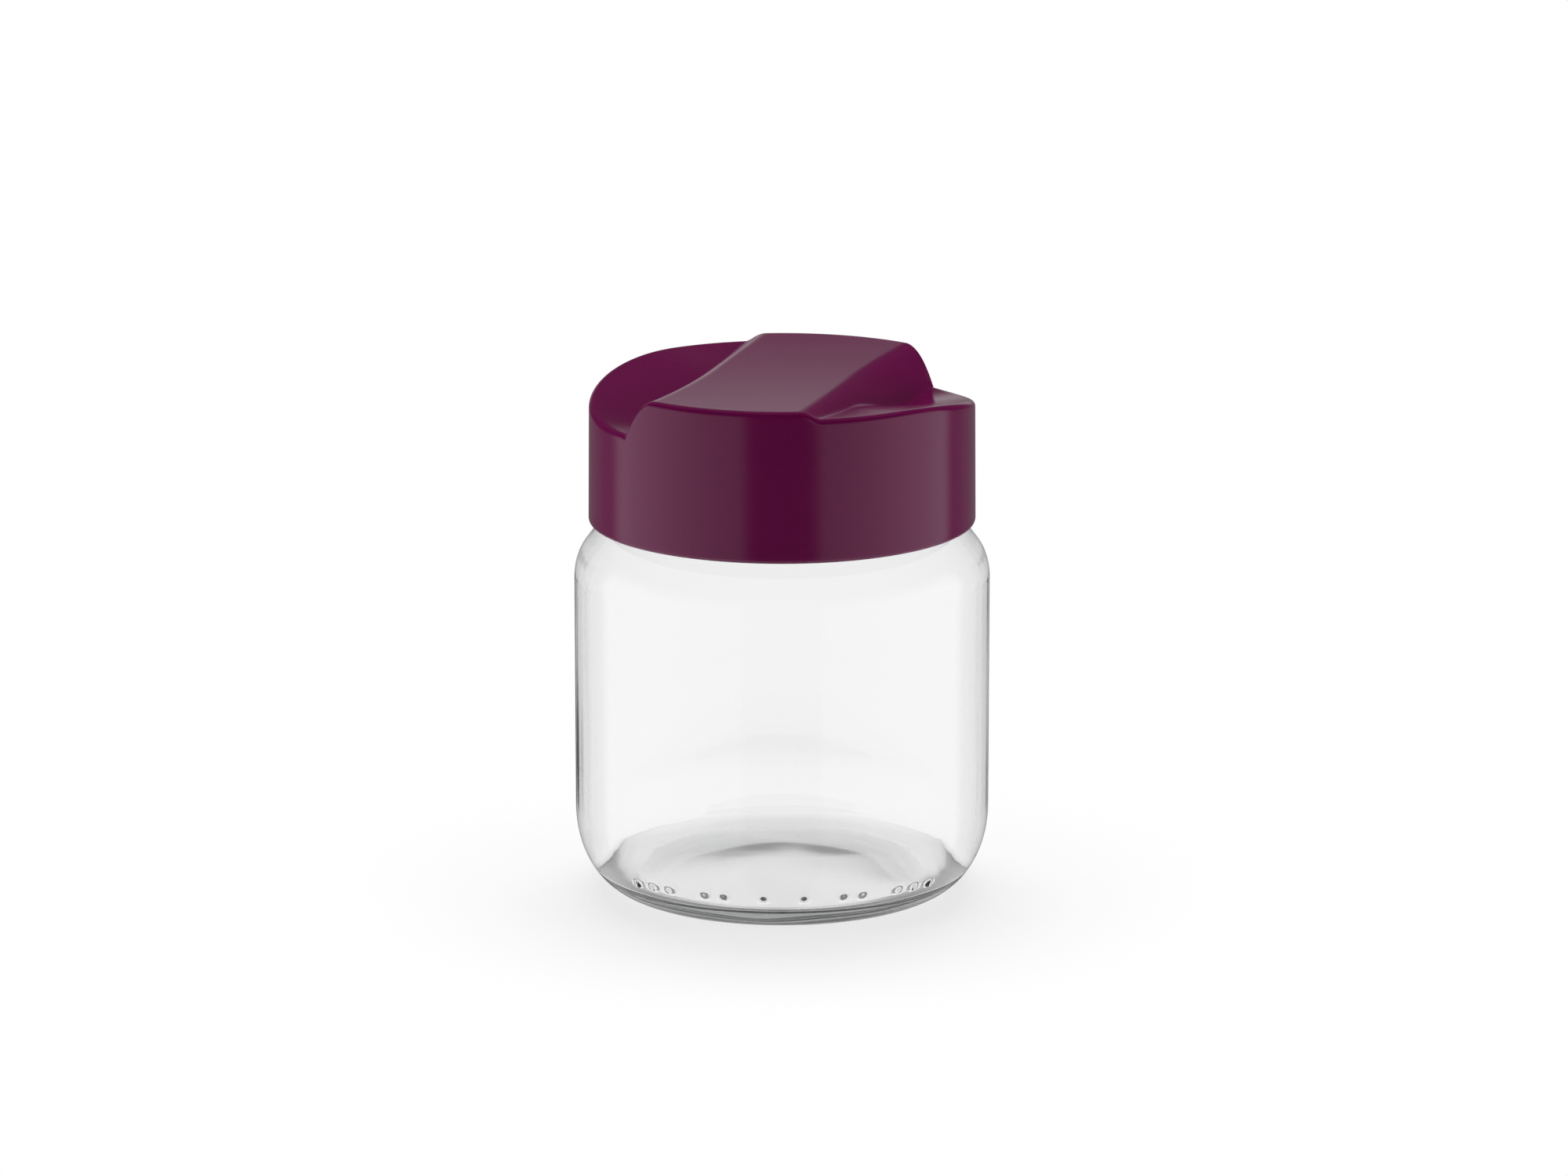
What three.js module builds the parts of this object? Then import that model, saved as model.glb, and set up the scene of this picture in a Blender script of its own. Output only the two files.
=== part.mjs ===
// A glass storage jar of about 425 ml with a moulded twist lid and the loose disc that seals them.
// Millimetres, +Z up. The jar stands on z = 0, and every piece is centred on the Z axis.
import * as THREE from "three";
import { ParametricGeometry } from "three/addons/geometries/ParametricGeometry.js";
import { mergeGeometries, mergeVertices } from "three/addons/utils/BufferGeometryUtils.js";

// Glass jar, outside
const bodyRadius = 43;
const bearingRadius = 31.3; // outer edge of the ring that the jar stands on
const bearingWidth = 2.6;
const heelHeight = 17.1;
const sideLength = 48.9; // straight side, from the heel to the shoulder
const shoulderReach = 6; // level half axis of the shoulder's round
const shoulderRise = 9; // upright half axis
const shoulderTurn = THREE.MathUtils.degToRad(48.2); // how far the round goes before it runs straight
const neckInset = 7; // from the side to the neck
const neckHeight = 16.3; // from the foot of the neck to the rim
const neckBend = 2.4; // taken from the slope and from the neck by the bend between them
const pushUp = 3.2; // rise of the hollow under the base

// Glass jar, inside
const bodyWall = 2.4;
const neckWall = 3;
const baseThickness = 4.6; // over the bearing ring
const floorRise = 1.8; // of the floor's middle over its edge
const floorRadius = 34.5;
const rimRound = 1.1;

// Seal disc
const sealThickness = 1.6; // of the ring that is squeezed on the glass rim
const panelThickness = 1;
const sealOverlap = 1.2; // of the thick ring inside the mouth
const sealSideRoom = 0.25; // between the disc and the skirt

// Twist lid
const threadRoom = 2.2; // between the neck and the skirt, where the threads run
const skirtWall = 1.8;
const skirtDraft = 0.2; // radius lost from the lower edge to the upper one
const skirtLap = 1.5; // from the foot of the neck down to the lower edge
const lipRound = 0.8;
const topWall = 2;
const edgeRound = 1.3;
const landHeight = 1; // of the sealing rib, under the lowest part of the ceiling
const ribWall = 1.8;
const retainingBead = 0.7;
const gripWidth = 28; // up to the middle of each edge, which then flares toward its low end
const gripFlare = 3.4; // of an edge, at the rim
const gripTurn = THREE.MathUtils.degToRad(16.2); // of the grip's length, clockwise from the Y axis
const wallCurve = 3.2; // radius of the grip's walls where they leave its edges
const hollowInset = 1.2; // of the hollow under the grip, from each edge
const footBlend = 0.8; // drop over which a wall runs into its ramp
const rampHigh = 1.6; // drop below the grip where a ramp starts
const rampLow = 8.2; // drop where it ends
const rampStart = THREE.MathUtils.degToRad(-58); // from square across the grip
const rampEnd = THREE.MathUtils.degToRad(52);
const rampTilt = 0.105; // fall toward the axis, for each millimetre in from the rim

// The gap left between pieces that touch
const seatGap = 0.3;

// Levels and radii that follow
const shoulderZ = heelHeight + sideLength;
const shoulderSlope = shoulderRise / shoulderReach / Math.tan(shoulderTurn);
const slopeRun = neckInset - shoulderReach * (1 - Math.cos(shoulderTurn));
const neckZ = shoulderZ + shoulderRise * Math.sin(shoulderTurn) + shoulderSlope * slopeRun;
const rimZ = neckZ + neckHeight;
const neckRadius = bodyRadius - neckInset;
const mouthRadius = neckRadius - neckWall;
const sealZ = rimZ + seatGap;
const landZ = sealZ + sealThickness + seatGap;
const lidTopZ = landZ + landHeight + topWall + rampLow;
const lidBottomZ = neckZ - skirtLap;
const skirtInner = neckRadius + threadRoom;
const lidRadius = skirtInner + skirtWall;
const topRadius = lidRadius - skirtDraft;
const sealRadius = skirtInner - sealSideRoom;
const ribInner = mouthRadius + rimRound / 2;

// Facets
const around = 72;
const sweepSteps = 7; // on a heel or a shoulder
const roundSteps = 3; // on a rounded edge
const domeSteps = 4;
const rightAngle = Math.PI / 2;

// A quarter of an ellipse about (centreR, centreZ), from one angle to another, as profile points.
function sweep(centreR, centreZ, radiusR, radiusZ, from, to, steps = sweepSteps) {
  const curve = new THREE.EllipseCurve(centreR, centreZ, radiusR, radiusZ, from, to, to < from);
  return curve.getPoints(steps);
}

// A quarter of a circle, for a rounded edge.
function rounded(centreR, centreZ, radius, from, to) {
  return sweep(centreR, centreZ, radius, radius, from, to, roundSteps);
}

// A low dome from the axis to a point on its edge, level on the axis.
function dome(middleZ, edgeR, edgeZ) {
  const middle = new THREE.Vector2(0, middleZ);
  const control = new THREE.Vector2(edgeR / 2, middleZ);
  const edge = new THREE.Vector2(edgeR, edgeZ);
  return new THREE.QuadraticBezierCurve(middle, control, edge).getPoints(domeSteps);
}

// Turns a profile of radii and heights about the Z axis.
function revolve(profile) {
  return new THREE.LatheGeometry(profile, around).rotateX(rightAngle);
}

// A shoulder from a wall to a neck: a round of a given share of the outer one's size, then a slope
// that bends into the neck.
function shoulder(wall, neck, share) {
  const reach = share * shoulderReach;
  const round = sweep(wall - reach, shoulderZ, reach, share * shoulderRise, 0, shoulderTurn);
  const roundEnd = round[round.length - 1];
  const corner = new THREE.Vector2(neck, roundEnd.y + shoulderSlope * (roundEnd.x - neck));
  const bendStart = roundEnd.clone().sub(corner).setLength(neckBend).add(corner);
  const bendEnd = new THREE.Vector2(neck, corner.y + neckBend);
  return [...round, ...new THREE.QuadraticBezierCurve(bendStart, corner, bendEnd).getPoints(roundSteps)];
}

function glassJar() {
  const innerRadius = bodyRadius - bodyWall;
  const innerShare = 1 - bodyWall / shoulderReach;
  return revolve([
    ...dome(pushUp, bearingRadius - bearingWidth, 0),
    ...sweep(bearingRadius, heelHeight, bodyRadius - bearingRadius, heelHeight, -rightAngle, 0),
    ...shoulder(bodyRadius, neckRadius, 1),
    ...rounded(neckRadius - rimRound, rimZ - rimRound, rimRound, 0, rightAngle),
    ...rounded(mouthRadius + rimRound, rimZ - rimRound, rimRound, rightAngle, Math.PI),
    ...shoulder(innerRadius, mouthRadius, innerShare).reverse(),
    ...sweep(floorRadius, heelHeight, innerRadius - floorRadius, heelHeight - baseThickness, 0, -rightAngle),
    ...dome(baseThickness + floorRise, floorRadius, baseThickness).reverse(),
  ]);
}

// A thick ring on the glass rim and under the lid's rib, with a thinner panel across its middle.
function sealDisc() {
  const panelRadius = mouthRadius - sealOverlap;
  const step = (sealThickness - panelThickness) / 2;
  const heights = [
    [0, step],
    [panelRadius - step, step],
    [panelRadius, 0],
    [sealRadius - step, 0],
    [sealRadius, step],
    [sealRadius, sealThickness - step],
    [sealRadius - step, sealThickness],
    [panelRadius, sealThickness],
    [panelRadius - step, sealThickness - step],
    [0, sealThickness - step],
  ];
  return revolve(heights.map(([radius, height]) => new THREE.Vector2(radius, sealZ + height)));
}

// The smaller of two drops, with the corner between them rounded.
function smoothMin(first, second, blend) {
  const near = Math.max(blend - Math.abs(first - second), 0) / blend;
  return Math.min(first, second) - (near ** 2 * blend) / 4;
}

// How far the lid's top lies below its grip. The grip runs along Y here, and each side of it is
// the other's half turn: a rounded wall falls to a ramp that winds down about the axis.
function topDrop(x, y, inset) {
  const across = Math.abs(x);
  const along = x < 0 ? -y : y;
  const edge = gripWidth / 2 + gripFlare * (Math.max(along, 0) / lidRadius) ** 2 - inset;
  const wall = Math.max(across - edge, 0) ** 2 / (2 * wallCurve);
  const turned = THREE.MathUtils.smoothstep(Math.atan2(along, across), rampStart, rampEnd);
  const inward = Math.max(topRadius - edgeRound - Math.hypot(x, y), 0);
  const ramp = rampHigh + (rampLow - rampHigh) * turned + rampTilt * inward;
  return smoothMin(wall, ramp, footBlend);
}

// A round sheet made of chords that run along the grip, which follows the lid's top from a level.
function topSheet(radius, level, inset) {
  const chord = (u, v, point) => {
    const angle = u * Math.PI;
    const x = -radius * Math.cos(angle);
    const y = (2 * v - 1) * radius * Math.sin(angle);
    point.set(x, y, level - topDrop(x, y, inset));
  };
  return new ParametricGeometry(chord, around / 2, 14);
}

// The lid's section at an angle, from the edge of its top, down and up its skirt, to its rib.
function skirtSection(angle) {
  const dropAt = (radius, inset) => topDrop(radius * Math.cos(angle), radius * Math.sin(angle), inset);
  const ceilingAt = (radius) => lidTopZ - topWall - dropAt(radius, hollowInset);
  const flatRadius = topRadius - edgeRound;
  const edgeZ = lidTopZ - dropAt(flatRadius, 0) - edgeRound;
  const beadRadius = skirtInner - retainingBead;
  const beadTopZ = sealZ - seatGap;
  const ribOuter = ribInner + ribWall;
  const corner = (radius, height) => new THREE.Vector2(radius, height);
  return [
    ...rounded(flatRadius, edgeZ, edgeRound, rightAngle, 0),
    ...rounded(lidRadius - lipRound, lidBottomZ + lipRound, lipRound, 0, -rightAngle),
    corner(skirtInner + lipRound / 2, lidBottomZ),
    corner(skirtInner, lidBottomZ + lipRound / 2),
    corner(skirtInner, beadTopZ - 2 * retainingBead),
    corner(beadRadius, beadTopZ - retainingBead),
    corner(beadRadius, beadTopZ - retainingBead / 2),
    corner(skirtInner, beadTopZ),
    corner(skirtInner, ceilingAt(skirtInner)),
    corner(ribOuter, ceilingAt(ribOuter)),
    corner(ribOuter, landZ),
    corner(ribInner, landZ),
    corner(ribInner, ceilingAt(ribInner)),
  ];
}

// A closed loop of sections about the Z axis, as a sheet.
function loopOfSections(sectionAt) {
  const positions = [];
  const faces = [];
  const rows = sectionAt(0).length;
  for (let turn = 0; turn < around; turn += 1) {
    const angle = (turn / around) * 2 * Math.PI;
    const next = (turn + 1) % around;
    for (const { x: radius, y: height } of sectionAt(angle)) {
      positions.push(radius * Math.cos(angle), radius * Math.sin(angle), height);
    }
    for (let row = 0; row < rows - 1; row += 1) {
      const here = turn * rows + row;
      const there = next * rows + row;
      faces.push(here, here + 1, there, there, here + 1, there + 1);
    }
  }
  const sheet = new THREE.BufferGeometry();
  sheet.setAttribute("position", new THREE.Float32BufferAttribute(positions, 3));
  sheet.setIndex(faces);
  return sheet;
}

// Turns a sheet over, so that its other side is its outside.
function turnedOver(sheet) {
  const faces = sheet.getIndex();
  for (let corner = 0; corner < faces.count; corner += 3) {
    const first = faces.getX(corner);
    faces.setX(corner, faces.getX(corner + 1));
    faces.setX(corner + 1, first);
  }
  return sheet;
}

// The lid is one moulding: ramped top, hollow grip, skirt, sealing rib and retaining bead.
function twistLid() {
  const top = topSheet(topRadius - edgeRound, lidTopZ, 0);
  const ceiling = turnedOver(topSheet(ribInner, lidTopZ - topWall, hollowInset));
  const sheets = [top, loopOfSections(skirtSection), ceiling];
  for (const sheet of sheets) {
    sheet.deleteAttribute("normal");
    sheet.deleteAttribute("uv");
  }
  const lid = mergeVertices(mergeGeometries(sheets), 1e-4);
  lid.computeVertexNormals();
  return lid;
}

function piece(name, geometry, color, roughness) {
  const material = new THREE.MeshStandardMaterial({ color, roughness, metalness: 0 });
  const mesh = new THREE.Mesh(geometry, material);
  mesh.name = name;
  return mesh;
}

const lid = piece("twist_lid", twistLid(), "#5a1a3e", 0.35);
lid.rotation.z = -gripTurn;

const jar = new THREE.Group();
jar.add(piece("glass_jar", glassJar(), "#e9eeee", 0.05));
jar.add(piece("seal_disc", sealDisc(), "#e4e1da", 0.6));
jar.add(lid);

export default jar;
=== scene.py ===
# %% [markdown]
# # A glass storage jar with a twist lid
#
# The real object is a squat kitchen jar: a pressed and blown glass body, a soft seal disc, and a plum
# plastic lid that screws on. A CAD program has made the three as plain solids, with the joints between
# them. This lesson loads them as a fixed frame and gives each one a finer skin and a finish. The skins
# could be sculpted or built from modifiers. Every form here turns about one axis, so each is worked out
# with numpy instead, as a section carried round that axis.

import bpy
import numpy as np
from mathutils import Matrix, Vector


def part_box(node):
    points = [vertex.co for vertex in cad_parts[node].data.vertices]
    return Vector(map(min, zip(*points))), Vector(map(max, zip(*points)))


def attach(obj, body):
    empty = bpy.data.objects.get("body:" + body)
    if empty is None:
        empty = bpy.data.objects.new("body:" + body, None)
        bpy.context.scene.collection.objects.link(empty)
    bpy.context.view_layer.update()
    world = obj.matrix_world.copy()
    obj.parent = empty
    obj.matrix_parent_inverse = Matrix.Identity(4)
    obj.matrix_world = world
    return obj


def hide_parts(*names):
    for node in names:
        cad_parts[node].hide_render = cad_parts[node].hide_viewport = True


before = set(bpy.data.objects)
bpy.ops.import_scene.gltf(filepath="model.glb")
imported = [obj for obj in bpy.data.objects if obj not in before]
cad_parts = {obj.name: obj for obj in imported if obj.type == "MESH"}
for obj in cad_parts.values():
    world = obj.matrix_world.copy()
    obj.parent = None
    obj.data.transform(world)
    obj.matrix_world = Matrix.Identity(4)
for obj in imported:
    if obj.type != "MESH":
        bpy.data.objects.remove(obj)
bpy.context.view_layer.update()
mm = 0.001
print("solids:", ", ".join(sorted(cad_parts)))


# %% Read the main sizes off the solids
def size_in_mm(node):
    """Radius, lowest level and highest level of a solid about Z, in millimetres to one decimal."""
    low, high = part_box(node)
    return [round(side / mm, 1) for side in (high.x, low.z, high.z)]


body_radius, _, rim_level = size_in_mm("glass_jar")
lid_radius, lid_bottom, lid_top = size_in_mm("twist_lid")
_, seal_level, _ = size_in_mm("seal_disc")
print("glass rim at", rim_level, "mm, lid from", lid_bottom, "to", lid_top, "mm, seal at", seal_level, "mm")

# %% [markdown]
# ## A section carried round the axis
#
# A glass mould and a lid's steel tool are both turned on a lathe, and so are these skins. A Screw
# modifier would do for a plain profile, but a thread or a ramp makes the section change with the angle.
# So a skin is a grid here, with one column for each angle and one row for each point of the section.
# Sections are drawn in millimetres, and the mesh is made in metres.


# %% Helper: a closed skin from a grid of radii and heights
def column_angles(columns):
    """Angles in radians of the columns, a whole turn shared evenly."""
    return np.arange(columns)[:, None] * (2 * np.pi / columns)


def turned_skin(name, angle, radius, height):
    """Closes a skin about Z. Row j of column i is the point (r cos a, r sin a, z), where a is the
    column's angle. The first and the last row lie on the axis and become one point each. Rows run out
    along the underside, up the outside and back along the other side, so that faces point outwards."""
    columns, rows = radius.shape
    grid = np.stack((radius * np.cos(angle), radius * np.sin(angle), height), axis=-1)
    poles = [[0, 0, height[0, 0]], [0, 0, height[0, -1]]]
    points = np.concatenate((grid[:, 1:-1].reshape(-1, 3), poles)) * mm
    index = np.arange(columns * (rows - 2)).reshape(columns, rows - 2)
    beside = np.roll(index, -1, axis=0)
    quads = np.stack((index[:, :-1], beside[:, :-1], beside[:, 1:], index[:, 1:]), axis=-1).reshape(-1, 4)
    first_pole = np.full(columns, index.size)
    first_fan = np.stack((first_pole, beside[:, 0], index[:, 0]), axis=-1)
    last_fan = np.stack((index[:, -1], beside[:, -1], first_pole + 1), axis=-1)
    fans = np.concatenate((first_fan, last_fan))
    corners = np.concatenate((quads.ravel(), fans.ravel()))
    starts = np.concatenate((np.arange(len(quads)) * 4, quads.size + np.arange(len(fans)) * 3))
    mesh = bpy.data.meshes.new(name)
    mesh.vertices.add(len(points))
    mesh.vertices.foreach_set("co", points.ravel())
    mesh.loops.add(len(corners))
    mesh.loops.foreach_set("vertex_index", corners)
    mesh.polygons.add(len(starts))
    mesh.polygons.foreach_set("loop_start", starts)
    mesh.update(calc_edges=True)
    mesh.validate()
    mesh.shade_smooth()
    piece = bpy.data.objects.new(name, mesh)
    bpy.context.scene.collection.objects.link(piece)
    print(name, "has", 2 * len(quads) + len(fans), "triangles")
    return piece


# %% Helpers: the runs that a section is drawn with
def line(start, end, steps):
    """Points on a straight run: start + (end - start) t, with t from 0 to 1."""
    part = np.linspace(0, 1, steps)[:, None]
    return np.array(start) * (1 - part) + np.array(end) * part


def arc(centre, radii, start, end, steps):
    """Points on an ellipse: the centre plus (radius_r cos a, radius_z sin a), a from start to end degrees."""
    angle = np.radians(np.linspace(start, end, steps))
    return np.column_stack((centre[0] + radii[0] * np.cos(angle), centre[1] + radii[1] * np.sin(angle)))


def low_dome(middle_height, edge, steps):
    """A curve from the axis to an edge, level on the axis: r = edge_r t, and the height goes from the
    middle's to the edge's with t squared, for t from 0 to 1."""
    part = np.linspace(0, 1, steps)
    return np.column_stack((edge[0] * part, middle_height + (edge[1] - middle_height) * part**2))


def joined(runs):
    """All points of a section in one array, and beside it the name of the run that each belongs to."""
    names = np.concatenate([[name] * len(run) for name, run in runs.items()])
    print("section:", {name: len(run) for name, run in runs.items()})
    return np.concatenate(list(runs.values())), names


# %% Helpers: soft steps and humps
def smooth(part):
    """A soft step: 3 t squared - 2 t cubed, for t kept between 0 and 1."""
    part = np.clip(part, 0, 1)
    return part * part * (3 - 2 * part)


def hump(distance, half_width):
    """A round ridge from 0 to 1: half of 1 + cos(pi d / w), for a distance d within the half width w."""
    across = np.clip(distance / half_width, -1, 1)
    return 0.5 + 0.5 * np.cos(np.pi * across)


print("half-way up, a soft step is", smooth(0.5), "and a hump is", round(float(hump(0.5, 1)), 2))

# %% [markdown]
# ## The screw thread
#
# Jar and lid hold by a thread with three starts, so a third of a turn is enough to free the lid. Each
# start is a low ridge that climbs 12 mm in a full turn. It could be a swept curve joined to the wall,
# but a ridge that is part of the wall's own grid needs no joining and leaves no hidden faces.

# %% Helper: the ridges of a three-start thread
thread_lead = 12.0
thread_starts = 3
thread_fade = 14


def thread_ridges(angle, height, foot, first, sweep, width):
    """How far a ridge stands up, from 0 to 1. Along each start, the ridge's middle is at
    foot + lead a / 360, with a the degrees past the start. Across it the ridge is a hump of the given
    width, and it fades at both ends of its sweep."""
    ridge = np.zeros(np.broadcast_shapes(angle.shape, height.shape))
    for start in range(thread_starts):
        past = (np.degrees(angle) - first - start * 360 / thread_starts) % 360
        across = hump(height - foot - thread_lead * past / 360, width / 2)
        ends = smooth(past / thread_fade) * smooth((sweep - past) / thread_fade)
        ridge = np.maximum(ridge, across * ends)
    return ridge


print("a third of a turn lifts the lid", thread_lead / thread_starts, "mm")

# %% [markdown]
# ## The glass
#
# The body is one piece of clear glass: a base pushed up in the middle, a deep round heel, a straight
# side, a sloped shoulder and a neck with a fire-polished rim. Its section is drawn as a list of runs,
# from the middle of the underside, up the outside, over the rim and down the inside. Every run is a line,
# a part of an ellipse or a plain curve, as a mould maker would draw it.

# %% The sizes of the glass, in millimetres
bearing_radius = 31.3
bearing_width = 2.6
push_up = 2.6
heel_height = 17.1
side_length = 48.9
shoulder_reach = 6.0
shoulder_rise = 9.0
shoulder_turn = 48.2
neck_radius = 36.0
neck_wall = 3.0
neck_bend = 2.4
rim_round = 1.1
body_wall = 2.4
floor_radius = 37.0
floor_rise = 1.8
base_thickness = 4.6

shoulder_level = heel_height + side_length
mouth_radius = neck_radius - neck_wall
inner_radius = body_radius - body_wall
ring_inner = bearing_radius - bearing_width
rim_low = rim_level - rim_round
print("the mouth is", 2 * mouth_radius, "mm wide and the shoulder starts at", shoulder_level, "mm")


# %% Helper: a shoulder
def shoulder_run(wall, neck, share):
    """A shoulder from a wall in to a neck: a part of an ellipse, a slope along its tangent, and a bend.
    The ellipse is a share of the outer one. The bend is a quadratic curve about the corner where slope
    and neck would meet."""
    reach = share * shoulder_reach
    rounding = arc((wall - reach, shoulder_level), (reach, share * shoulder_rise), 0, shoulder_turn, 15)
    slope = shoulder_rise / shoulder_reach / np.tan(np.radians(shoulder_turn))
    corner = np.array([neck, rounding[-1, 1] + slope * (rounding[-1, 0] - neck)])
    down_slope = (rounding[-1] - corner) / np.linalg.norm(rounding[-1] - corner)
    bend_start = corner + neck_bend * down_slope
    bend_end = corner + [0, neck_bend]
    part = np.linspace(0, 1, 10)[:, None]
    bend = bend_start * (1 - part) ** 2 + 2 * corner * part * (1 - part) + bend_end * part**2
    return np.concatenate((rounding, line(rounding[-1], bend_start, 6)[1:], bend[1:]))


outer_shoulder = shoulder_run(body_radius, neck_radius, 1)
inner_shoulder = shoulder_run(inner_radius, mouth_radius, 1 - body_wall / shoulder_reach)
print("the neck starts at", round(outer_shoulder[-1, 1], 1), "mm")

# %% The glass section
dot_place = -33
dot_band = 5

rim_size = (rim_round, rim_round)
heel_centre = (bearing_radius, heel_height)
heel_size = (body_radius - bearing_radius, heel_height)
inner_heel_size = (inner_radius - floor_radius, heel_height - base_thickness)
floor_edge = (floor_radius, base_thickness)
glass_runs = {
    "push_up": low_dome(push_up, (ring_inner, 0), 14),
    "ring": line((ring_inner, 0), (bearing_radius, 0), 5)[1:],
    "low_heel": arc(heel_centre, heel_size, -90, dot_place - dot_band, 16)[1:],
    "dot_band": arc(heel_centre, heel_size, dot_place - dot_band, dot_place + dot_band, 21)[1:],
    "heel": arc(heel_centre, heel_size, dot_place + dot_band, 0, 9)[1:],
    "side": line((body_radius, heel_height), (body_radius, shoulder_level), 7)[1:],
    "shoulder": outer_shoulder[1:],
    "neck": line(outer_shoulder[-1], (neck_radius, rim_low), 40)[1:],
    "rim_out": arc((neck_radius - rim_round, rim_low), rim_size, 0, 90, 7)[1:],
    "rim_in": arc((mouth_radius + rim_round, rim_low), rim_size, 90, 180, 7),
    "mouth": line((mouth_radius, rim_low), inner_shoulder[-1], 6)[1:],
    "inner_shoulder": inner_shoulder[::-1][1:],
    "inner_side": line((inner_radius, shoulder_level), (inner_radius, heel_height), 9)[1:],
    "inner_heel": arc((floor_radius, heel_height), inner_heel_size, 0, -90, 22)[1:],
    "floor": low_dome(base_thickness + floor_rise, floor_edge, 17)[::-1][1:],
}
glass_section, glass_run = joined(glass_runs)

# %% [markdown]
# ## Thread, dots and blown inside
#
# Three things aren't plain turning. The neck carries the thread and, below it, the bead that the glass
# works carries the hot jar by. Round the front of the heel runs a ring of small raised dots, which the
# mould leaves there with bare places between them. The inside is shaped by air and not by steel, so its
# wall and its floor wander a little. All three are small offsets on the grid. Columns are set closer
# together where there are dots, so that each dot is round without a finer grid everywhere.

# %% Columns of the glass, closer together at the dots
dot_count = 62
dot_front = np.radians(-89.5)
dot_pitch = 2 * np.pi / dot_count
column_shares = np.array([-0.5, -0.27, -0.16, -0.05, 0.05, 0.16, 0.27])

dot_angles = np.arange(dot_count)[:, None] * dot_pitch
glass_angle = (dot_angles + column_shares * dot_pitch).reshape(-1, 1) + dot_front
glass_radius = np.tile(glass_section[:, 0], (len(glass_angle), 1))
glass_height = np.tile(glass_section[:, 1], (len(glass_angle), 1))
print("glass grid:", glass_radius.shape)

# %% Thread and carrying bead on the neck
neck_ridge_rise = 1.4
carrying_bead_level = 83.2
carrying_bead_half = 1.2
carrying_bead_rise = 0.6

on_neck = glass_run == "neck"
neck_ridges = thread_ridges(glass_angle, glass_height, foot=85.6, first=0, sweep=115, width=2.6)
carrying_bead = hump(glass_height - carrying_bead_level, carrying_bead_half)
glass_radius = glass_radius + on_neck * (neck_ridge_rise * neck_ridges + carrying_bead_rise * carrying_bead)
print("the neck is", round(2 * float(np.max(on_neck * glass_radius)), 1), "mm across its thread")

# %% Dots on the heel
dot_radius = 1.1
dot_rise = 0.8
dot_lean = np.radians(24)
dot_ring = arc(heel_centre, heel_size, dot_place, dot_place, 1)[0]
bare_places = [0, 2, 5]
last_dot = 8


def heel_dots(angle, radius, height):
    """Height of the ring of dots, from 0 to 1. Each is a round cap, 1 less the squared distance from its
    middle in dot radii. Some places, counted in pitches from the front, are bare, and so is the back."""
    place = (angle - dot_front) / dot_pitch
    number = np.round(place).astype(int)
    from_front = np.minimum(number % dot_count, -number % dot_count)
    across = (place - number) * dot_pitch * dot_ring[0] / dot_radius
    up_heel = ((radius - dot_ring[0]) ** 2 + (height - dot_ring[1]) ** 2) / dot_radius**2
    bare = np.isin(from_front, bare_places) | (from_front > last_dot)
    return np.where(bare, 0, np.clip(1 - across**2 - up_heel, 0, 1))


on_dot_band = glass_run == "dot_band"
dots = on_dot_band * dot_rise * heel_dots(glass_angle, glass_radius, glass_height)
glass_radius = glass_radius + np.cos(dot_lean) * dots
glass_height = glass_height - np.sin(dot_lean) * dots
print("dots:", 2 * (last_dot - len(bare_places) + 1))


# %% The blown inside
def wall_wander(angle, height):
    """Offset of the inside wall in millimetres: three slow waves round the jar, two of which turn with
    the height. They fade in from 6 to 22 mm above the table and out from 64 to 76 mm."""
    waves = 0.05 * np.sin(2 * angle + 0.8) + 0.03 * np.sin(3 * angle + height / 11)
    waves = waves + 0.02 * np.sin(5 * angle - height / 7)
    return waves * smooth((height - 6) / 16) * smooth((76 - height) / 12)


def floor_wander(angle, radius):
    """Offset of the floor in millimetres: two slow waves round the jar. They fade in from 5 to 17 mm off
    the axis and out over the last 8 mm before the corner."""
    waves = 0.12 * np.sin(3 * angle + 0.5) + 0.08 * np.sin(5 * angle - radius / 6)
    return waves * smooth((radius - 5) / 12) * smooth((floor_radius - radius) / 8)


on_wall = np.isin(glass_run, ["inner_shoulder", "inner_side", "inner_heel"])
on_floor = glass_run == "floor"
floor_offset = on_floor * floor_wander(glass_angle, glass_radius)
wall_offset = on_wall * wall_wander(glass_angle, glass_height)
glass_height = glass_height + floor_offset
glass_radius = glass_radius + wall_offset
print("the wall wanders by", round(float(np.max(np.abs(wall_offset))), 2), "mm at most")
print("the floor wanders by", round(float(np.max(np.abs(floor_offset))), 2), "mm at most")

# %% Make the glass
glass_body = turned_skin("glass_body", glass_angle, glass_radius, glass_height)
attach(glass_body, "jar")
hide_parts("glass_jar")

# %% [markdown]
# ## The lid's top
#
# The lid's top is the hard part: a flat grip band crosses it, and on each side a rounded wall leads down
# to a ramp that winds about the axis, so that fingers and thumb get a hold. It could be cut with
# booleans from a plain cap. A height formula is shorter and gives smooth shading: it says how far the
# surface lies below the grip at each place. The two sides are each other's half turn.

# %% Helper: how far the lid's top drops below its grip
skirt_draft = 0.2
edge_round = 1.3
grip_half = 14.0
grip_flare = 3.4
grip_turn = np.radians(16.2)
wall_curve = 3.2
foot_blend = 0.8
ramp_high = 1.6
ramp_low = 8.2
ramp_start = np.radians(-38)
ramp_end = np.radians(52)
ramp_tilt = 0.105
top_dish = 0.45

top_radius = lid_radius - skirt_draft
flat_radius = top_radius - edge_round


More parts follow.
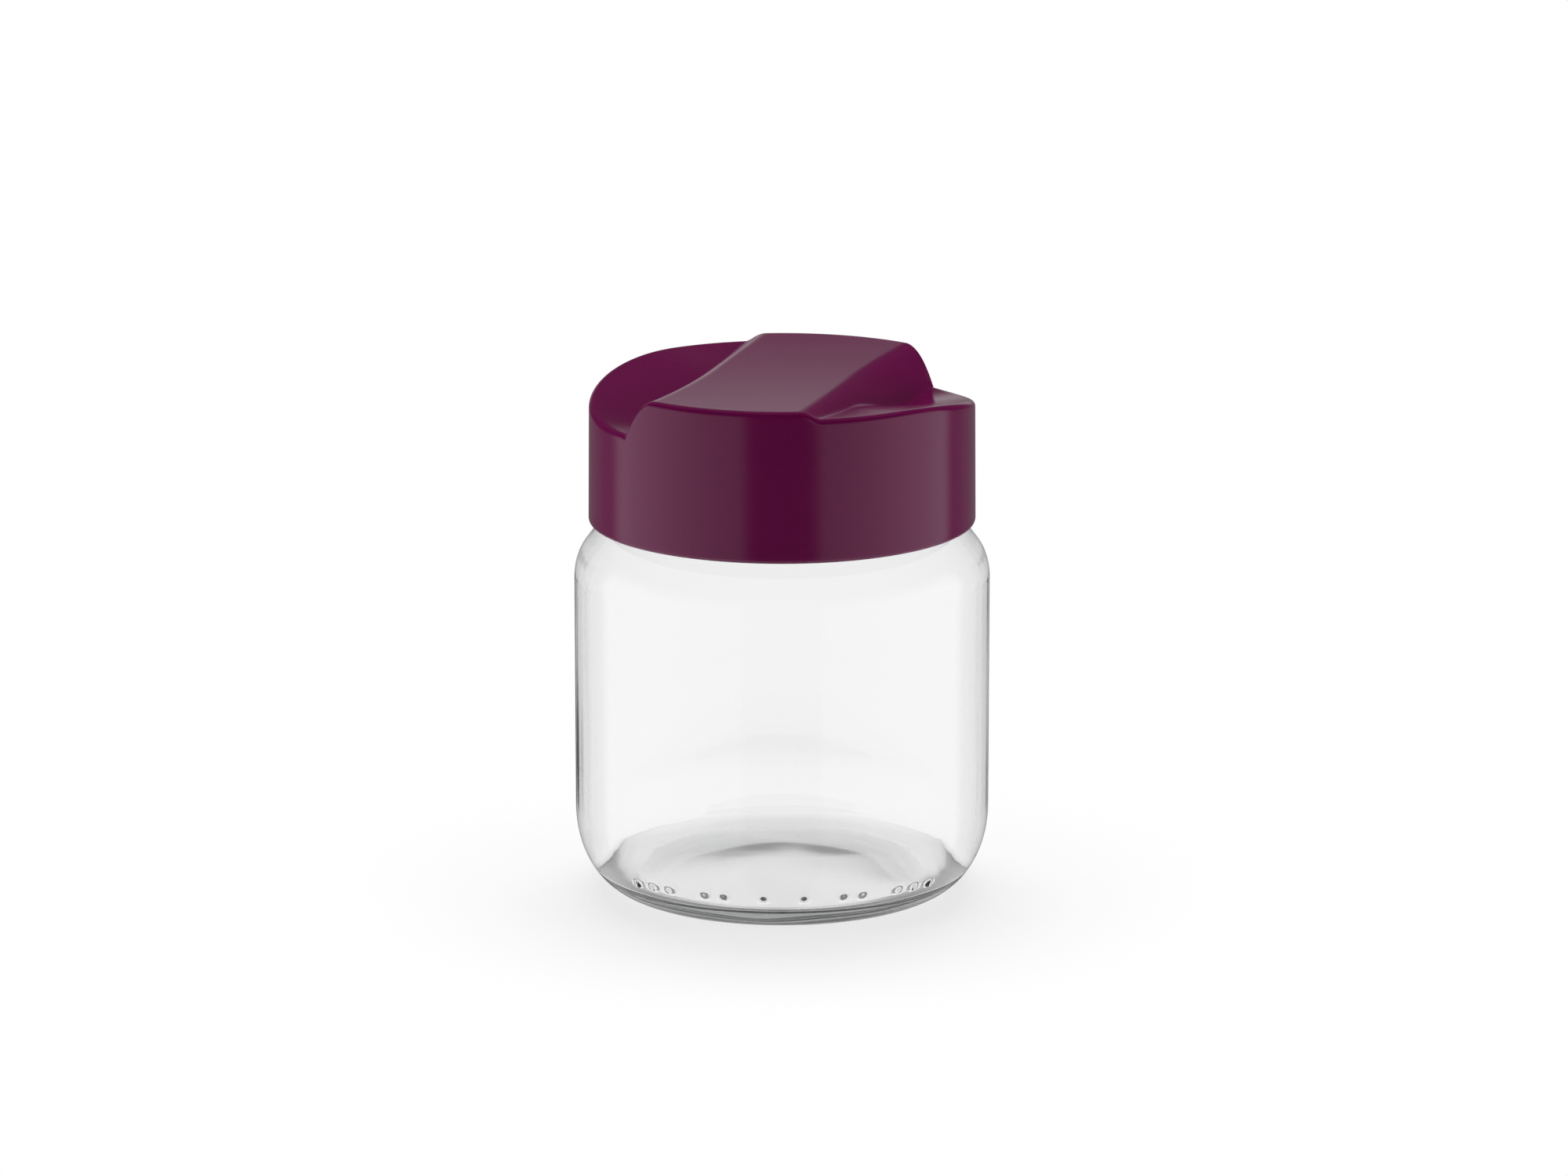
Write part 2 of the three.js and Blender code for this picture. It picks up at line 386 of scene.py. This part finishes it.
def top_drop(radius, angle, inset=0.0):
    """Drop below the grip. The grip's edge swings out with the square of the way toward its low end, and
    past it the wall falls with the square of the distance. The ramp deepens with the angle about the
    axis and tilts in toward it. The surface is the higher of the two, with their corner rounded by a
    smooth minimum, and all of it is dished a little. The inset narrows the grip for the inside."""
    x = radius * np.cos(angle + grip_turn)
    y = radius * np.sin(angle + grip_turn)
    along = np.where(x < 0, -y, y)
    edge = grip_half + grip_flare * (np.clip(along, 0, None) / lid_radius) ** 2 - inset
    wall = np.clip(np.abs(x) - edge, 0, None) ** 2 / (2 * wall_curve)
    turned = (np.arctan2(along, np.abs(x)) - ramp_start) / (ramp_end - ramp_start)
    inward = np.clip(flat_radius - radius, 0, None)
    ramp = ramp_high + (ramp_low - ramp_high) * smooth(turned) + ramp_tilt * inward
    near = np.clip(foot_blend - np.abs(wall - ramp), 0, None) / foot_blend
    dish = top_dish * np.clip(1 - (radius / lid_radius) ** 2, 0, 1)
    return np.minimum(wall, ramp) - near**2 * foot_blend / 4 + dish


deepest = float(np.max(top_drop(flat_radius, column_angles(360))))
print("drop at the foot of the ramp:", round(deepest, 2), "mm")

# %% [markdown]
# ## The lid
#
# The lid is one moulding of even wall: top, skirt, a rib that presses on the seal, and a bead that keeps
# the seal in. Its section runs from the middle of the ceiling, out round the rib, down the inside of the
# skirt with its thread, round the lip, up the outside, over a rounded edge and in along the top. Runs
# that follow the top are bent by the height formula, and the rest only turn.

# %% The sizes of the lid, in millimetres
top_wall = 2.0
skirt_inner = 38.2
lip_round = 0.8
lip_inner_height = 0.4
seal_thickness = 1.6
seat_gap = 0.3
rib_inner = 33.55
rib_width = 1.8
rib_end_height = 0.6
rib_step = 0.4
groove_step = 0.2
seat_step = 0.3
bead_step = 0.1

ceiling = lid_top - top_wall
rib_outer = rib_inner + rib_width
rib_end_level = seal_level + seal_thickness + seat_gap + rib_end_height
bead_top = seal_level - seat_gap
lip_inner_level = lid_bottom + lip_inner_height
lip_level = lid_bottom + lip_round
edge_level = lid_top - edge_round
print("room for the seal:", round(rib_end_level - rib_end_height - bead_top, 1), "mm")

# %% The lid section
rib_middle = (rib_inner + rib_width / 2, rib_end_level)
rib_size = (rib_width / 2, rib_end_height)
lip_size = (lip_round, lip_inner_height)
lid_runs = {
    "ceiling": line((0, ceiling), (rib_inner - rib_step, ceiling), 26),
    "rib_root": line((rib_inner, ceiling - rib_step), (rib_inner, rib_end_level), 6),
    "rib_end": arc(rib_middle, rib_size, 180, 360, 10)[1:],
    "rib_back": line((rib_outer, rib_end_level), (rib_outer, ceiling), 6)[1:],
    "groove": line((rib_outer + groove_step, ceiling), (skirt_inner, ceiling), 4),
    "seat_wall": line((skirt_inner, ceiling - seat_step), (skirt_inner, bead_top + bead_step), 6),
    "skirt_inside": line((skirt_inner, bead_top), (skirt_inner, lip_inner_level), 62),
    "lip": arc((skirt_inner + lip_round, lip_inner_level), lip_size, 180, 270, 5)[1:],
    "lip_out": arc((lid_radius - lip_round, lip_level), (lip_round, lip_round), -90, 0, 8),
    "skirt_side": line((lid_radius, lip_level), (top_radius, edge_level), 24)[1:],
    "edge": arc((flat_radius, edge_level), (edge_round, edge_round), 0, 90, 10)[1:],
    "top": line((flat_radius, lid_top), (0, lid_top), 82)[1:],
}
lid_section, lid_run = joined(lid_runs)
lid_angle = column_angles(384)
lid_radii = np.tile(lid_section[:, 0], (len(lid_angle), 1))
lid_heights = np.tile(lid_section[:, 1], (len(lid_angle), 1))


# %% Bend the runs that follow the top
hollow_inset = 1.2


def share_of_height(low, high):
    """How much of the top's drop a point takes: none at the low level, all of it at the high level."""
    return np.clip((lid_heights - low) / (high - low), 0, 1)


def follows(*runs):
    """1 for the points on the named runs, and 0 for the rest."""
    return np.isin(lid_run, runs)


outer_drop = top_drop(lid_radii, lid_angle)
inner_drop = top_drop(lid_radii, lid_angle, hollow_inset)
rim_drop = top_drop(flat_radius, lid_angle)
lid_drop = follows("top") * outer_drop + follows("edge") * rim_drop
lid_drop = lid_drop + follows("skirt_side") * rim_drop * share_of_height(lip_level, edge_level)
lid_drop = lid_drop + follows("ceiling", "groove") * inner_drop
lid_drop = lid_drop + follows("seat_wall") * inner_drop * share_of_height(bead_top, ceiling)
on_rib = follows("rib_root", "rib_end", "rib_back")
lid_drop = lid_drop + on_rib * inner_drop * share_of_height(rib_end_level, ceiling)
lid_heights = lid_heights - lid_drop
print("the ceiling is", round(float(np.min((lid_heights - rim_level)[:, 0])), 2), "mm above the glass rim")

# %% Retaining bead and inside thread
skirt_ridge_rise = 1.3
retaining_bead_rise = 0.7
retaining_bead_half = 0.9

on_skirt_inside = lid_run == "skirt_inside"
skirt_ridges = thread_ridges(lid_angle, lid_heights, foot=83.6, first=12, sweep=90, width=2.2)
retaining_bead = hump(lid_heights - bead_top + retaining_bead_half, retaining_bead_half)
skirt_relief = retaining_bead_rise * retaining_bead + skirt_ridge_rise * skirt_ridges
lid_radii = lid_radii - on_skirt_inside * skirt_relief
print("the skirt is", round(2 * (skirt_inner - skirt_ridge_rise), 1), "mm wide inside its thread")

# %% Make the lid
twist_cap = turned_skin("twist_cap", lid_angle, lid_radii, lid_heights)
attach(twist_cap, "lid")
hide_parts("twist_lid")

# %% [markdown]
# ## The seal disc
#
# A soft disc lies loose in the lid and is pressed on the glass rim. It has a thick ring where it seals
# and a thinner panel across the middle, with two low rings that keep the panel from drumming. The section
# is drawn like the others, with the ring's corners rounded. Its upper half mirrors the lower one.

# %% The seal section
seal_side_room = 0.25
seal_overlap = 1.2
seal_step = 0.3
seal_corner = 0.5

seal_radius = skirt_inner - seal_side_room
seal_panel = mouth_radius - seal_overlap
panel_level = seal_level + seal_step
corner_radius = seal_radius - seal_corner
seal_under = [
    line((0, panel_level), (seal_panel - seal_step, panel_level), 50),
    arc((seal_panel, panel_level), (seal_step, seal_step), 180, 270, 6)[1:],
    line((seal_panel, seal_level), (corner_radius, seal_level), 12)[1:],
    arc((corner_radius, seal_level + seal_corner), (seal_corner, seal_corner), -90, 0, 7)[1:],
]
seal_lower = np.concatenate(seal_under)
seal_upper = seal_lower[::-1] * [1, -1] + [0, 2 * seal_level + seal_thickness]
seal_section = np.concatenate((seal_lower, seal_upper))
print("seal section:", len(seal_section), "points")

# %% Make the seal disc
panel_ring_radii = (12, 22)
panel_ring_rise = 0.16


def panel_rings(radius):
    """Two low rings on the panel's faces: humps 2 mm wide at two radii, in millimetres."""
    nearest = np.min([np.abs(radius - ring) for ring in panel_ring_radii], axis=0)
    return panel_ring_rise * hump(nearest, 1)


seal_angle = column_angles(192)
seal_side = np.where(np.arange(len(seal_section)) < len(seal_lower), -1, 1)
seal_heights = seal_section[:, 1] + seal_side * panel_rings(seal_section[:, 0])
seal_grid = (len(seal_angle), len(seal_section))
seal_radii = np.broadcast_to(seal_section[:, 0], seal_grid)
seal_heights = np.broadcast_to(seal_heights, seal_grid)
soft_seal = turned_skin("soft_seal", seal_angle, seal_radii, seal_heights)
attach(soft_seal, "seal")
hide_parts("seal_disc")

# %% [markdown]
# ## Shader nodes in short
#
# A finish is a small net of nodes. Nodes could be placed by hand in the editor. Here a few helpers make
# one node each and give back its output, so that a net reads like a formula.


# %% Helpers: one-line shader nodes
def put(tree, socket, value):
    """Sets a socket to a number, or links it to another node's output."""
    if isinstance(value, (int, float)):
        socket.default_value = value
    else:
        tree.links.new(value, socket)


def worked(tree, operation, first, *others):
    """Math nodes in a row: the operation on the first two values, then on that result and the next one.
    With one value alone, it is one node on that value."""
    result = first
    for other in others or (0.0,):
        node = tree.nodes.new("ShaderNodeMath")
        node.operation = operation
        put(tree, node.inputs[0], result)
        put(tree, node.inputs[1], other)
        result = node.outputs[0]
    return result


def span(tree, value, low, high, from_low=0.3, from_high=0.7):
    """Maps a value, by default over the usual spread of a noise, to a span from low to high."""
    node = tree.nodes.new("ShaderNodeMapRange")
    put(tree, node.inputs["Value"], value)
    put(tree, node.inputs["From Min"], from_low)
    put(tree, node.inputs["From Max"], from_high)
    put(tree, node.inputs["To Min"], low)
    put(tree, node.inputs["To Max"], high)
    return node.outputs["Result"]


def soft_step(tree, value, low, high):
    """0 on the side of low, 1 on the side of high, and a smooth curve between them."""
    step = span(tree, value, 0, 1, low, high)
    step.node.interpolation_type = "SMOOTHSTEP"
    return step


def split(tree, vector):
    """The X, Y and Z of a vector."""
    node = tree.nodes.new("ShaderNodeSeparateXYZ")
    put(tree, node.inputs["Vector"], vector)
    return node.outputs


# %% [markdown]
# ## A shared grain
#
# No moulded or blown surface is quite even. Two noises, one broad and one fine, give each finish its own
# slow clouds and its own small texture. They sit in one node group, because all three materials use them
# at different scales.


# %% Helper: the grain group
def grain_group():
    """Object coordinates feed a broad and a fine noise. The group puts out both as values from 0 to 1."""
    tree = bpy.data.node_groups.new("surface_grain", "ShaderNodeTree")
    for socket in ("Broad Scale", "Fine Scale"):
        tree.interface.new_socket(socket, in_out="INPUT", socket_type="NodeSocketFloat")
    for socket in ("Broad", "Fine"):
        tree.interface.new_socket(socket, in_out="OUTPUT", socket_type="NodeSocketFloat")
    inputs = tree.nodes.new("NodeGroupInput")
    outputs = tree.nodes.new("NodeGroupOutput")
    place = tree.nodes.new("ShaderNodeTexCoord")
    for socket, detail in (("Broad", 2.0), ("Fine", 4.0)):
        noise = tree.nodes.new("ShaderNodeTexNoise")
        put(tree, noise.inputs["Detail"], detail)
        put(tree, noise.inputs["Vector"], place.outputs["Object"])
        put(tree, noise.inputs["Scale"], inputs.outputs[socket + " Scale"])
        put(tree, outputs.inputs[socket], noise.outputs["Fac"])
    return tree


surface_grain = grain_group()
print("group:", surface_grain.name)


# %% Helpers: a material with the grain in it
def grained_material(name, broad_scale, fine_scale):
    """A material's node tree, its shader and its own copy of the grain, ready to be linked."""
    material = bpy.data.materials.new(name)
    material.use_nodes = True
    tree = material.node_tree
    grain = tree.nodes.new("ShaderNodeGroup")
    grain.node_tree = surface_grain
    put(tree, grain.inputs["Broad Scale"], broad_scale)
    put(tree, grain.inputs["Fine Scale"], fine_scale)
    return material, tree, tree.nodes["Principled BSDF"], grain.outputs


def colour_between(tree, value, dark, light):
    """Mixes two colours by a value from 0 to 1."""
    mix = tree.nodes.new("ShaderNodeMix")
    mix.data_type = "RGBA"
    mix.inputs[6].default_value = (*dark, 1)
    mix.inputs[7].default_value = (*light, 1)
    put(tree, mix.inputs[0], value)
    return mix.outputs[2]


def bumped(tree, value, strength, distance):
    """The normal of a surface that is raised by a value."""
    bump = tree.nodes.new("ShaderNodeBump")
    put(tree, bump.inputs["Strength"], strength)
    put(tree, bump.inputs["Distance"], distance)
    put(tree, bump.inputs["Height"], value)
    return bump.outputs["Normal"]


# %% [markdown]
# ## Clear glass
#
# Flint glass bends light and soaks up a little of it, which is why a jar's edges, where the way through
# the glass is long, look grey. A tinted colour would darken every place alike. So the shader stays clear
# and a volume absorption does the greying. A faint, broad bump stands for the waves of blown glass. The
# underside, which stands on belts and tables, is slightly frosted, so the roughness grows toward it.

# %% Material: clear glass
glass_tint = (0.30, 0.31, 0.31)
glass_density = 20
frost_top = 4.2 * mm
frost_full = 2.2 * mm
frost_roughness = 0.11

clear_glass, glass_tree, glass_shader, glass_grain = grained_material("clear_glass", 45, 260)
glass_shader.inputs["Base Color"].default_value = (1, 1, 1, 1)
glass_shader.inputs["IOR"].default_value = 1.5
glass_shader.inputs["Transmission Weight"].default_value = 1

glass_place = glass_tree.nodes.new("ShaderNodeTexCoord")
glass_level = split(glass_tree, glass_place.outputs["Object"])["Z"]
frost = soft_step(glass_tree, glass_level, frost_top, frost_full)
frost = worked(glass_tree, "MULTIPLY", frost, frost_roughness)
polish = span(glass_tree, glass_grain["Broad"], low=0.003, high=0.012)
put(glass_tree, glass_shader.inputs["Roughness"], worked(glass_tree, "ADD", polish, frost))
glass_waves = bumped(glass_tree, glass_grain["Broad"], strength=0.012, distance=0.4 * mm)
put(glass_tree, glass_shader.inputs["Normal"], glass_waves)

absorption = glass_tree.nodes.new("ShaderNodeVolumeAbsorption")
absorption.inputs["Color"].default_value = (*glass_tint, 1)
absorption.inputs["Density"].default_value = glass_density
put(glass_tree, glass_tree.nodes["Material Output"].inputs["Volume"], absorption.outputs["Volume"])
glass_body.data.materials.append(clear_glass)
taken_up = glass_density * (1 - glass_tint[0]) * mm
print("glass takes up", round(100 * taken_up, 1), "percent of light per millimetre")

# %% [markdown]
# ## Plum plastic
#
# The lid is a satin moulding in deep plum. Its colour is in the plastic, with the slightest clouding, and
# its gloss comes from a fine texture in the steel tool. A flat colour would look like paint on a screen.
# So the base colour varies a little, and the roughness and a small bump do the rest.

# %% Material: plum plastic
deep_plum = (0.124, 0.0022, 0.055)
light_plum = (0.138, 0.0030, 0.061)

plum_plastic, plum_tree, plum_shader, plum_grain = grained_material("plum_plastic", 38, 1900)
plum_shader.inputs["IOR"].default_value = 1.47
plum_colour = colour_between(plum_tree, plum_grain["Broad"], deep_plum, light_plum)
put(plum_tree, plum_shader.inputs["Base Color"], plum_colour)
plum_gloss = span(plum_tree, plum_grain["Broad"], low=0.15, high=0.20)
put(plum_tree, plum_shader.inputs["Roughness"], plum_gloss)
plum_texture = bumped(plum_tree, plum_grain["Fine"], strength=0.10, distance=0.1 * mm)
put(plum_tree, plum_shader.inputs["Normal"], plum_texture)
twist_cap.data.materials.append(plum_plastic)
print(twist_cap.name, "is", plum_plastic.name)

# %% [markdown]
# ## Milky silicone
#
# The seal is unpigmented silicone: milky, soft to the touch and a little see-through. Light that goes in
# and comes out again gives that look. Transmission would be too clear for it, so the shader gets some
# subsurface, a matte skin and a fine bump.

# %% Material: milky silicone
dull_milk = (0.70, 0.69, 0.65)
bright_milk = (0.80, 0.79, 0.76)

milky_silicone, milk_tree, milk_shader, milk_grain = grained_material("milky_silicone", 60, 2400)
milk_shader.inputs["Subsurface Weight"].default_value = 0.35
milk_shader.inputs["Subsurface Scale"].default_value = 2 * mm
milk_shader.inputs["IOR"].default_value = 1.41
milk_colour = colour_between(milk_tree, milk_grain["Broad"], dull_milk, bright_milk)
put(milk_tree, milk_shader.inputs["Base Color"], milk_colour)
milk_gloss = span(milk_tree, milk_grain["Fine"], low=0.45, high=0.60)
put(milk_tree, milk_shader.inputs["Roughness"], milk_gloss)
milk_texture = bumped(milk_tree, milk_grain["Fine"], strength=0.15, distance=0.1 * mm)
put(milk_tree, milk_shader.inputs["Normal"], milk_texture)
soft_seal.data.materials.append(milky_silicone)
print(soft_seal.name, "is", milky_silicone.name)

# %% [markdown]
# ## The floor
#
# The jar stands on a plain white table with nothing behind it. A lit floor would show a horizon, so what
# the camera sees is white by itself, with part of the floor's own shading left in near the jar for its
# shadow. The same white is what glass shows behind it.


# %% Helpers: what the camera sees, and two shaders in one
def seen_directly(tree):
    """1 for what the camera sees, straight on or through glass: the larger of two kinds of ray."""
    path = tree.nodes.new("ShaderNodeLightPath")
    return worked(tree, "MAXIMUM", path.outputs["Is Camera Ray"], path.outputs["Is Transmission Ray"])


def mixed_shader(tree, share, first, second, output):
    """Two shaders mixed by a share and put out as the tree's surface."""
    mix = tree.nodes.new("ShaderNodeMixShader")
    put(tree, mix.inputs[0], share)
    put(tree, mix.inputs[1], first)
    put(tree, mix.inputs[2], second)
    put(tree, tree.nodes[output].inputs["Surface"], mix.outputs["Shader"])


# %% Make the floor
floor_half = 3.0
floor_level = -0.1 * mm

floor_corners = [(-1, -1), (1, -1), (1, 1), (-1, 1)]
floor_points = [(x * floor_half, y * floor_half, floor_level) for x, y in floor_corners]
floor_mesh = bpy.data.meshes.new("floor")
floor_mesh.from_pydata(floor_points, [], [(0, 1, 2, 3)])
floor = bpy.data.objects.new("floor", floor_mesh)
bpy.context.scene.collection.objects.link(floor)
floor.visible_glossy = False
print("floor:", 2 * floor_half, "m wide")

# %% Material: white table
white_near = 0.74
shadow_reach = 0.035
shadow_end = 0.10

white_table = bpy.data.materials.new("white_table")
white_table.use_nodes = True
table_tree = white_table.node_tree
table_shader = table_tree.nodes["Principled BSDF"]
table_shader.inputs["Base Color"].default_value = (0.9, 0.9, 0.9, 1)
table_shader.inputs["Roughness"].default_value = 0.9
table_shader.inputs["Specular IOR Level"].default_value = 0
table_white = table_tree.nodes.new("ShaderNodeEmission")
table_place = table_tree.nodes.new("ShaderNodeTexCoord")
table_reach = table_tree.nodes.new("ShaderNodeVectorMath")
table_reach.operation = "LENGTH"
put(table_tree, table_reach.inputs[0], table_place.outputs["Object"])
table_far = soft_step(table_tree, table_reach.outputs["Value"], shadow_reach, shadow_end)
table_share = worked(table_tree, "ADD", worked(table_tree, "MULTIPLY", table_far, 1 - white_near), white_near)
table_share = worked(table_tree, "MULTIPLY", table_share, seen_directly(table_tree))
table_look = (table_shader.outputs["BSDF"], table_white.outputs["Emission"])
mixed_shader(table_tree, table_share, *table_look, "Material Output")
floor.data.materials.append(white_table)
print("the shadow fades out", round(shadow_end / mm), "mm from the jar's axis")

# %% [markdown]
# ## The room that gloss sees
#
# Satin plastic and glass show their form by what they reflect. A photographer sets a large soft light on
# each side and leaves the front and the ceiling dark, so that light bands run down the sides of lid and
# glass, and a strip of backdrop at eye level lights the level parts of the top. The table and the wall
# behind send back a fainter light. Lamps alone would give bands with hard edges. So the room itself is
# painted: each direction gets a brightness. The angle round the room is 0 straight in front of the jar,
# where the camera is, and 180 degrees behind it.

# %% The directions of the room
room = bpy.data.worlds.new("white_room")
room.use_nodes = True
bpy.context.scene.world = room
room_tree = room.node_tree
room_place = room_tree.nodes.new("ShaderNodeTexCoord")
look_x, look_y, look_z = split(room_tree, room_place.outputs["Generated"])
to_side = worked(room_tree, "ABSOLUTE", look_x)
to_front = worked(room_tree, "MULTIPLY", look_y, -1)
around = worked(room_tree, "ARCTAN2", to_side, to_front)
print("world:", room.name)

# %% Paint the side lights, which grow brighter from the front round to the side
side_near = 0.5
side_gain = 0.45

side_rise = soft_step(room_tree, around, np.radians(25), np.radians(90))
side_rise = worked(room_tree, "ADD", worked(room_tree, "MULTIPLY", side_rise, side_gain), side_near)
side_front = soft_step(room_tree, around, np.radians(19), np.radians(25))
side_back = soft_step(room_tree, around, np.radians(122), np.radians(110))
side_top = soft_step(room_tree, look_z, 0.55, 0.15)
side_light = worked(room_tree, "MULTIPLY", side_front, side_back, side_top, side_rise)
print("side lights from", side_near, "at the front to", side_near + side_gain, "beside the jar")

# %% Paint the backdrop, the table's glow and the faint light behind
backdrop_strength = 0.56
table_strength = 0.55
edge_strength = 0.12
back_strength = 0.025

backdrop_foot = soft_step(room_tree, look_z, -0.15, 0.12)
backdrop_top = soft_step(room_tree, look_z, 0.29, 0.08)
backdrop_sides = soft_step(room_tree, look_y, 0.90, 0.985)
backdrop_area = worked(room_tree, "MULTIPLY", backdrop_foot, backdrop_top, backdrop_sides)
backdrop = worked(room_tree, "MULTIPLY", backdrop_area, backdrop_strength)

edge_around = soft_step(room_tree, around, np.radians(105), np.radians(125))
edge_below = soft_step(room_tree, look_z, 0.0, -0.15)
edge_light = worked(room_tree, "MULTIPLY", edge_around, edge_below, edge_strength)

table_glow = worked(room_tree, "MULTIPLY", soft_step(room_tree, look_z, -0.32, -0.55), table_strength)
back_glow = worked(room_tree, "MULTIPLY", soft_step(room_tree, look_y, 0.4, 0.8), back_strength)
room_glow = worked(room_tree, "ADD", side_light, edge_light, backdrop, table_glow, back_glow)
print("backdrop", backdrop_strength, "and table", table_strength, "as bright as white")

# %% Mix the room: white to the camera, painted lights to gloss, nearly dark to the rest
quiet_strength = 0.02

room_path = room_tree.nodes.new("ShaderNodeLightPath")
room_gloss = worked(room_tree, "MULTIPLY", room_path.outputs["Is Glossy Ray"], room_glow)
room_share = worked(room_tree, "MAXIMUM", seen_directly(room_tree), room_gloss)
room_quiet = room_tree.nodes["Background"]
room_white = room_tree.nodes.new("ShaderNodeBackground")
for background, strength in ((room_quiet, quiet_strength), (room_white, 1)):
    background.inputs["Color"].default_value = (1, 1, 1, 1)
    background.inputs["Strength"].default_value = strength
room_look = (room_quiet.outputs["Background"], room_white.outputs["Background"])
mixed_shader(room_tree, room_share, *room_look, "World Output")
print("the room has", len(room_tree.nodes), "nodes")

# %% [markdown]
# ## The lamps
#
# The painted room gives the reflections, and three soft boxes give the light itself: one on each side, a
# little in front of the jar, and a large one above and behind it. Sun lamps would throw hard shadows. The
# boxes are hidden from reflections, because the room already shows the lights there.


# %% Make the lamps
def soft_box(name, place, target, width, height, radiance):
    """A rectangular lamp that looks at a target. Its power is pi times its area times its radiance."""
    lamp = bpy.data.lights.new(name, "AREA")
    lamp.shape = "RECTANGLE"
    lamp.size = width
    lamp.size_y = height
    lamp.energy = np.pi * width * height * radiance
    box = bpy.data.objects.new(name, lamp)
    box.location = place
    box.rotation_mode = "QUATERNION"
    box.rotation_quaternion = (Vector(target) - Vector(place)).to_track_quat("-Z", "Y")
    box.visible_camera = False
    box.visible_transmission = False
    box.visible_glossy = False
    bpy.context.scene.collection.objects.link(box)
    print(name, "gives", round(lamp.energy, 2), "W")


soft_box("left_box", (-0.9, -0.25, 0.27), (0, 0, 0.06), width=0.8, height=0.5, radiance=3.9)
soft_box("right_box", (0.9, -0.25, 0.27), (0, 0, 0.06), width=0.8, height=0.5, radiance=3.6)
soft_box("top_box", (0, 0.5, 0.9), (0, 0, 0.05), width=0.9, height=0.9, radiance=4.2)

# %% [markdown]
# ## The camera
#
# The picture was taken from straight in front with a long lens, looking down about 14 degrees. The place
# and the focal length could be guessed by eye. They come from fitting the outlines of the glass and the
# lid instead, which settles both at once.

# %% Make the camera
camera_tilt = np.radians(14.2)
camera_distance = 1.5
camera_side = 0.4 * mm
camera_pivot = Vector((camera_side, 0, 0.055))
camera_target = Vector((camera_side, 0, 0.0632))

camera_data = bpy.data.cameras.new("camera")
camera_data.sensor_width = 36
camera_data.lens = 165.94
camera = bpy.data.objects.new("camera", camera_data)
camera.location = camera_pivot + camera_distance * Vector((0, -np.cos(camera_tilt), np.sin(camera_tilt)))
camera.rotation_mode = "QUATERNION"
camera.rotation_quaternion = (camera_target - camera.location).to_track_quat("-Z", "Y")
bpy.context.scene.collection.objects.link(camera)
bpy.context.scene.camera = camera
bpy.context.scene.view_settings.view_transform = "Standard"
print("camera at", [round(side, 3) for side in camera.location], "m")

# %% [markdown]
# ## A last update
#
# The skins may not grow past the solids. Here the scene is only brought up to date.

# %% Bring the scene up to date
bpy.context.view_layer.update()
